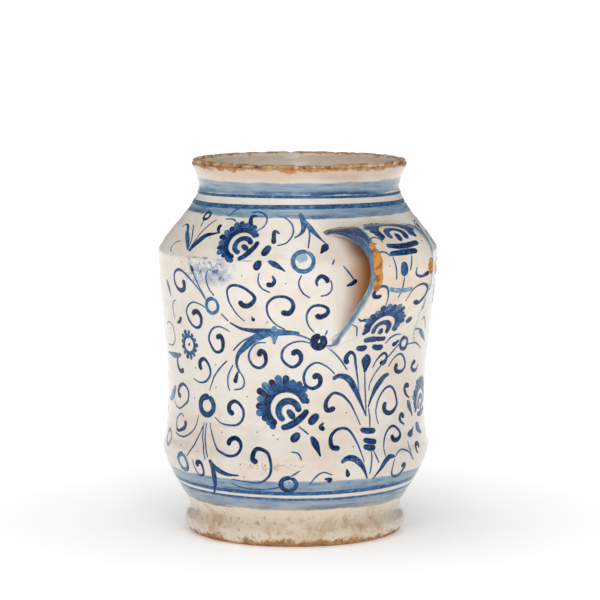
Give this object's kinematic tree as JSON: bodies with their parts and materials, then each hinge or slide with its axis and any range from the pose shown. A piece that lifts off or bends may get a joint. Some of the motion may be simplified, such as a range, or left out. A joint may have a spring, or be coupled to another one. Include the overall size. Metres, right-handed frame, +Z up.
{
  "type": "apothecary jar",
  "caption": "Waisted tin-glazed pharmacy jar with a short neck, rolled rim, spreading foot and one wide strap handle; holds dry drugs and salves.",
  "frame": {"origin": "middle of the flat base, on the jar's axis at the resting face", "axes": "+Z up along the jar's axis, +X towards the handle, +Y to its side"},
  "size_m": [0.1866, 0.1676, 0.225],
  "materials": {
    "earthenware": "bare low-fired clay, ochre to orange, matt",
    "joining_slip": "dried slip, matt",
    "tin_glaze": "glossy warm white tin glaze painted in cobalt blue",
    "inner_glaze": "glossy cream glaze"
  },
  "bodies": {
    "root": {"foot_and_wall": "earthenware", "shoulder_seam_slip": "joining_slip", "shoulder_collar": "earthenware", "handle_strap": "earthenware", "handle_upper_luting": "joining_slip", "handle_lower_luting": "joining_slip", "outer_glaze": "tin_glaze", "inner_glaze": "inner_glaze", "handle_glaze": "tin_glaze"}
  },
  "joints": []
}
